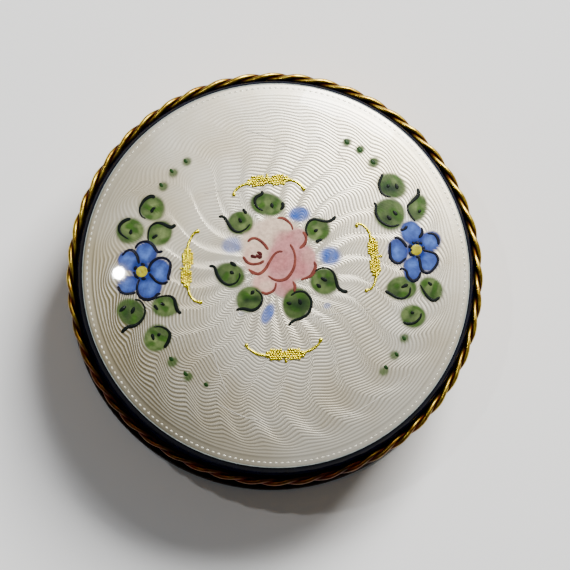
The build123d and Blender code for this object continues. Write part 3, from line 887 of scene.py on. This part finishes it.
def joined(name, parts):
    """One object from several closed meshes."""
    vertices, faces, start = [], [], 0
    for part_vertices, part_faces in parts:
        vertices.append(part_vertices)
        faces += [tuple(start + i for i in f) for f in part_faces]
        start += len(part_vertices)
    return make_object(name, np.vstack(vertices), faces)


LEAF_LINE, DAB_WIDTH, PETAL_LINE, SCRATCH_WIDTH = 0.25, 0.34, 0.30, 0.065
LINE_HEIGHT = 0.02
HEART_SIZES, HEART_DAB, HEART_DAB_REACH = (0.62, 0.58), (0.27, 0.19), 0.72


def leaf_lines():
    """Outlines, heavy at the end that is further from the leaf's middle, and dabs."""
    parts = []
    for seed, (middle, _, _, _, outline, dabs) in enumerate(LEAVES):
        first, last = [np.hypot(*(np.array(end) - middle)) for end in (outline[0], outline[-1])]
        parts.append(stroke_mesh(outline, LEAF_LINE, LINE_HEIGHT, seed, 0.1, int(last > first)))
        parts += [stroke_mesh(dab, DAB_WIDTH, LINE_HEIGHT, 30 + seed) for dab in dabs]
    return parts


def petal_lines():
    """Outlines of the petals, and the dabs round each flower's heart."""
    parts = []
    for seed, (middle, _, outlines) in enumerate(FLOWERS):
        first_seed = 60 + 10 * seed
        parts += [stroke_mesh(o, PETAL_LINE, LINE_HEIGHT, first_seed + i) for i, o in enumerate(outlines)]
        for turn in (15, 80, 150, 215, 285):
            x = middle[0] + HEART_DAB_REACH * cos(radians(turn))
            y = middle[1] + HEART_DAB_REACH * sin(radians(turn))
            parts.append(blob_mesh((x, y), HEART_DAB, turn + 80, 0.05))
    return parts


def bud_tips():
    parts = []
    for (x, y), _, (dx, dy), strength in BUDS:
        reach = 0.23 + 0.10 * strength
        parts.append(blob_mesh((x + dx, y + dy), (reach, 0.66 * reach), 130, 0.05))
    return parts


def painted_lines():
    """The raised paint and the scratches, one piece for each colour."""
    hearts = [blob_mesh(middle, HEART_SIZES, 30, 0.06) for middle, _, _ in FLOWERS]
    rose = [stroke_mesh(q, w, 0.015, 100 + i, 0.3) for i, (q, w) in enumerate(ROSE_LINES)]
    rose_heart = [stroke_mesh(q, w, LINE_HEIGHT, 120 + i) for i, (q, w) in enumerate(ROSE_HEART)]
    scratches = [stroke_mesh(q, SCRATCH_WIDTH, 0.004, 140 + i) for i, q in enumerate(SCRATCHES)]
    pieces = (
        ("leaf_outlines", leaf_lines(), "outline_black", (1, 4, 4), (4, 18, 12)),
        ("flower_outlines", petal_lines(), "outline_navy", (1, 2, 10), (4, 8, 34)),
        ("flower_hearts", hearts, "flower_yellow", (120, 104, 6), (190, 182, 36)),
        ("rose_lines", rose, "rose_line_brown", (82, 32, 28), (124, 64, 52)),
        ("rose_heart", rose_heart, "rose_heart", (44, 6, 8), (76, 18, 18)),
        ("bud_tips", bud_tips(), "bud_green", (10, 34, 8), (28, 66, 18)),
        ("scratches", scratches, "scratch_pale", (184, 178, 164), (208, 203, 192), 0.4),
    )
    for name, parts, paint, dark, light, *roughness in pieces:
        material = brush_paint(paint, linear(*dark), linear(*light), *roughness)
        lid_piece(joined(name, parts), material, "pale_enamel")


def granule(place, radius, draw):
    """A slightly uneven round granule of gold, half sunk in the enamel."""
    ball = bmesh.new()
    bmesh.ops.create_icosphere(ball, subdivisions=2, radius=1.0)
    middle = on_dome(np.array([place]), 0.25 * radius)[0]
    stretch = np.array([draw.uniform(0.88, 1.12) for _ in range(3)]) * radius
    turn = Matrix.Rotation(draw.uniform(0, tau), 3, Vector((draw.random(), draw.random(), 1)))
    vertices = np.array([turn @ v.co for v in ball.verts]) * stretch + middle
    faces = [tuple(v.index for v in f.verts) for f in ball.faces]
    ball.free()
    return vertices, faces


def packed_granules(middle, sizes, turn, spacing, draw):
    """Granules packed over an oval."""
    c, s = cos(radians(turn)), sin(radians(turn))
    places = []
    rows = int(sizes[1] / spacing) + 1
    for i in range(-rows, rows + 1):
        v = i * spacing * 0.86
        for j in range(-12, 13):
            u = (j + 0.5 * (i % 2)) * spacing
            if (u / sizes[0]) ** 2 + (v / sizes[1]) ** 2 <= 1:
                du, dv = u + draw.uniform(-0.03, 0.03), v + draw.uniform(-0.03, 0.03)
                places.append((middle[0] + du * c - dv * s, middle[1] + du * s + dv * c))
    return places


LOBE_SIZES, GRANULE_SPACING = (1.02, 0.50), 0.25
TAIL_WIDTH, TAIL_HEIGHT, TAIL_STEP = 0.26, 0.10, 0.15


def gold_scrolls():
    """Two lobes of packed granules, three more beside them, and two beaded tails with a ball at the end."""
    foil = gold("granulated_gold", linear(222, 200, 8), linear(255, 244, 44), (0.16, 0.32), 1600, 0.006)
    for seed, (node, (lobes, outer, tails, turn)) in enumerate(SCROLLS.items()):
        draw = random.Random(400 + seed)
        parts = []
        for lobe in lobes:
            for place in packed_granules(lobe, LOBE_SIZES, turn, GRANULE_SPACING, draw):
                parts.append(granule(place, draw.uniform(0.125, 0.165), draw))
        inner = (np.array(lobes[0]) + np.array(lobes[1])) / 2
        for share in (0.35, 0.65, 0.95):
            place = inner + (np.array(outer) - inner) * share
            parts.append(granule(place, 0.17 - 0.03 * share, draw))
        for tail in tails:
            parts.append(stroke_mesh(tail, TAIL_WIDTH, TAIL_HEIGHT, draw.randrange(999), 0.2))
            line = smooth_line(tail, TAIL_STEP)
            for i, place in enumerate(line):
                near = i / (len(line) - 1)
                parts.append(granule(place, 0.18 - 0.07 * min(1.0, 1.6 * near), draw))
            parts.append(granule(line[-1] + np.array([0.05, -0.02]), 0.20, draw))
            parts.append(granule(line[-2], 0.15, draw))
        lid_piece(joined(node + "_granules", parts), foil, "gold_foil", node)


DOT_COUNT, DOT_SIZES, DOT_INSET = 204, (0.085, 0.17), 0.42


def milled_dots():
    """The ring of small milled dots just inside the field's edge. They aren't set back with the motif."""
    ring = FIELD_RADIUS - DOT_INSET
    parts = []
    for i in range(DOT_COUNT):
        angle = tau * i / DOT_COUNT
        place = (np.array([ring * cos(angle), ring * sin(angle)]) - MOTIF_SHIFT) / MOTIF_SCALE
        parts.append(blob_mesh(tuple(place), DOT_SIZES, 360 * i / DOT_COUNT, 0.02))
    bright = Shader("milled_dot", Metallic=0.35, Roughness=0.3, Coat_Weight=1.0, Coat_Roughness=0.05)
    tone = bright.ramp(bright.noise(700, 3), (0.3, linear(196, 190, 168)), (0.7, linear(232, 228, 212)))
    bright.feed(tone, "Base Color")
    bright.feed(bright.bump(bright.noise(5000, 2), 0.15, 0.01), "Normal")
    lid_piece(joined("milled_dots", parts), bright.material, "pale_enamel")


# ---- Border, rope and metalwork ----


BORDER_STEPS = 20
BORDER_DROP = 0.03  # of the border's inner edge below the field's


def border():
    """Steep glossy border, a little convex, with a pale line where it meets the field."""
    height = EDGE_Z - BORDER_DROP - SEAT_Z
    width = BORDER_RADIUS - FIELD_RADIUS
    outer = []
    for t in np.arange(BORDER_STEPS + 1) / BORDER_STEPS:
        outer.append((FIELD_RADIUS + width * sin(t * pi / 2) ** 0.8, EDGE_Z - BORDER_DROP - height * t**1.35))
    inner = [
        (BORDER_RADIUS - 0.35, SEAT_Z),
        (FIELD_RADIUS - 0.30, EDGE_Z - 0.35),
        (FIELD_RADIUS - 0.02, EDGE_Z - 0.08),
    ]
    lid_piece(turned("navy_border", outer + inner), dark_enamel(), "dark_enamel", "dark_border_enamel")

    line = [
        (FIELD_RADIUS - 0.06, EDGE_Z - 0.10),
        (FIELD_RADIUS - 0.05, EDGE_Z - 0.012),
        (FIELD_RADIUS + 0.01, EDGE_Z - 0.018),
        (FIELD_RADIUS + 0.055, EDGE_Z - 0.06),
        (FIELD_RADIUS + 0.06, EDGE_Z - 0.12),
    ]
    edge = brush_paint("edge_blue", linear(124, 134, 132), linear(168, 174, 166), 0.2)
    lid_piece(turned("edge_line", line), edge, "pale_enamel")


ROPE_TURNS = 24
STRANDS = 2
STRAND_RADIUS = 0.56 * ROPE_RADIUS
ROPE_ALONG, ROPE_AROUND = 1152, 14


def rope():
    """Two round wires twisted together, kept inside the rope's round outline, and closed into a ring."""
    offset = ROPE_RADIUS - STRAND_RADIUS
    u = np.arange(ROPE_ALONG)[:, None] * tau / ROPE_ALONG
    a = np.arange(ROPE_AROUND) * tau / ROPE_AROUND
    strands, crest = [], []
    for strand in range(STRANDS):
        twist = ROPE_TURNS * u + strand * tau / STRANDS
        radius = STRAND_RADIUS * (1 + 0.035 * np.sin(7 * u + strand) + 0.02 * np.sin(31 * u + 2 * strand))
        out = offset * np.cos(twist) + radius * np.cos(a)
        up = offset * np.sin(twist) + radius * np.sin(a)
        reach = np.hypot(out, up)
        inside = np.minimum(1, ROPE_RADIUS / reach)
        ring = ROPE_CENTRE_RADIUS + out * inside
        vertices = np.stack([ring * np.cos(u), ring * np.sin(u), ROPE_Z + up * inside], axis=-1)
        strands.append((vertices.reshape(-1, 3), ring_faces(ROPE_ALONG, ROPE_AROUND, closed=True)))
        crest.append(np.minimum(1, reach / ROPE_RADIUS))
    piece = joined("twisted_rope", strands)
    add_layer(piece, "crest", "FLOAT", "value", crest)
    lid_piece(piece, rope_gold(), "rope_gilt", "rope_rim")


# Heights where painted shade begins and where it is full: a contact shadow low on the base, and shade under
# the rope, both dark like tarnish.
FOOT_SHADE = (FOOT_TOP + 1.6, FOOT_TOP + 0.2)
UNDER_ROPE_SHADE = (ROPE_Z - 0.90, ROPE_Z - 0.55)


def metalwork():
    """Materials of the CAD nodes that show as they are."""
    gilt = linear(176, 124, 52), linear(232, 190, 106)
    soft_gilt = linear(188, 140, 70), linear(238, 202, 128)
    hinge_gilt = linear(160, 110, 46), linear(218, 172, 92)
    silver = linear(170, 166, 156), linear(214, 212, 204)
    finishes = (
        (turned_gold("wall_gilt", *gilt, 0.09, "height", (0.14, 0.30), shade_heights=FOOT_SHADE),
         ("base_wall", "foot_ring", "base_hinge_bearer")),
        (turned_gold("frame_gilt", *gilt, 0.09, "height", (0.2, 0.4), shade_heights=UNDER_ROPE_SHADE),
         ("lid_frame", "lid_hinge_bearer")),
        (turned_gold("inside_gilt", *soft_gilt, 0.16, "radius", (0.24, 0.42), 0.01),
         ("base_collar", "lid_lining")),
        (turned_gold("floor_gilt", *soft_gilt, 0.30, "radius", (0.20, 0.38), 0.02), ("base_floor",)),
        (gold("hinge_gilt", *hinge_gilt, (0.2, 0.42), 1500, 0.01), ("base_knuckles", "lid_knuckles")),
        (steel(), ("hinge_pin",)),
        (counter_glaze(), ("counter_enamel",)),
        (turned_gold("plate_silver", *silver, 0.38, "radius", (0.2, 0.35), 0.03), ("guilloche_plate",)),
    )
    for finish, names in finishes:
        for name in names:
            dress(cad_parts[name], finish)


# ---- Stage, light and camera ----

TILT = radians(8.0)  # of the view off the lid's axis
LEAN = Vector((-0.331, -0.944, 0.0))  # way that the camera is tilted towards
CAMERA_DISTANCE = 0.90
VIEW_WIDTH = 56.4 * MM
VIEW_SHIFT = Vector((0.88, -0.99, 0.0)) * MM


FLOOR_HALF = 1.5
FLOOR_GAP = 0.00002  # keeps the floor just clear of the box's underside
LIGHT_AIM_Z = 0.012


def stage():
    h = FLOOR_HALF
    mesh = bpy.data.meshes.new("floor")
    mesh.from_pydata([(-h, -h, 0), (h, -h, 0), (h, h, 0), (-h, h, 0)], [], [(0, 1, 2, 3)])
    ground = add_object("floor", mesh)
    ground.location = (0, 0, cad_bounds[0][2] - FLOOR_GAP)
    s = Shader("floor_white", Roughness=0.7)
    s.feed(s.ramp(s.noise(3, 2), (0.3, 0.84), (0.7, 0.88)), "Base Color")
    dress(ground, s.material)


def softbox(name, place, size, power, colour, shape="SQUARE"):
    """Area light that looks at the box. Its place and size are in metres and its power in watts."""
    data = bpy.data.lights.new(name, "AREA")
    data.shape = shape
    data.size = size
    data.energy = power
    data.color = colour
    light = add_object(name, data)
    light.location = place
    aim = Vector((0, 0, LIGHT_AIM_Z)) - Vector(place)
    light.rotation_euler = aim.to_track_quat("-Z", "Y").to_euler()


def lights():
    """Key and fill beyond the back right, clear of the dome's reflections, and a lamp that shows in it."""
    world = bpy.data.worlds.new("studio")
    bpy.context.scene.world = world
    world.use_nodes = True
    background = world.node_tree.nodes["Background"]
    background.inputs["Color"].default_value = (0.90, 0.95, 1.0, 1)
    background.inputs["Strength"].default_value = 0.12
    softbox("key", (0.27, 0.40, 0.46), 0.30, 9.0, (1.0, 0.99, 0.96))
    softbox("fill", (0.17, 0.41, 0.62), 0.16, 2.4, (0.97, 0.98, 1.0))
    softbox("lamp", (-0.1928, 0.0822, 0.60), 0.016, 0.45, (1, 1, 1), "DISK")


def camera():
    """Camera at the photograph's angle: nearly straight down on the lid."""
    toward = Vector((LEAN.x * sin(TILT), LEAN.y * sin(TILT), cos(TILT)))
    right = Vector((0, 1, 0)).cross(toward).normalized()
    up = toward.cross(right)
    target = Vector((0, 0, EDGE_Z * MM)) + VIEW_SHIFT
    data = bpy.data.cameras.new("camera")
    data.sensor_width = 36
    data.lens = data.sensor_width * CAMERA_DISTANCE / VIEW_WIDTH
    data.clip_start = 0.01
    view = add_object("camera", data)
    turn = Matrix((right, up, toward)).transposed().to_4x4()
    view.matrix_world = Matrix.Translation(target + toward * CAMERA_DISTANCE) @ turn
    bpy.context.scene.camera = view


enamel_field()
painted_lines()
gold_scrolls()
milled_dots()
border()
rope()
metalwork()
stage()
lights()
camera()
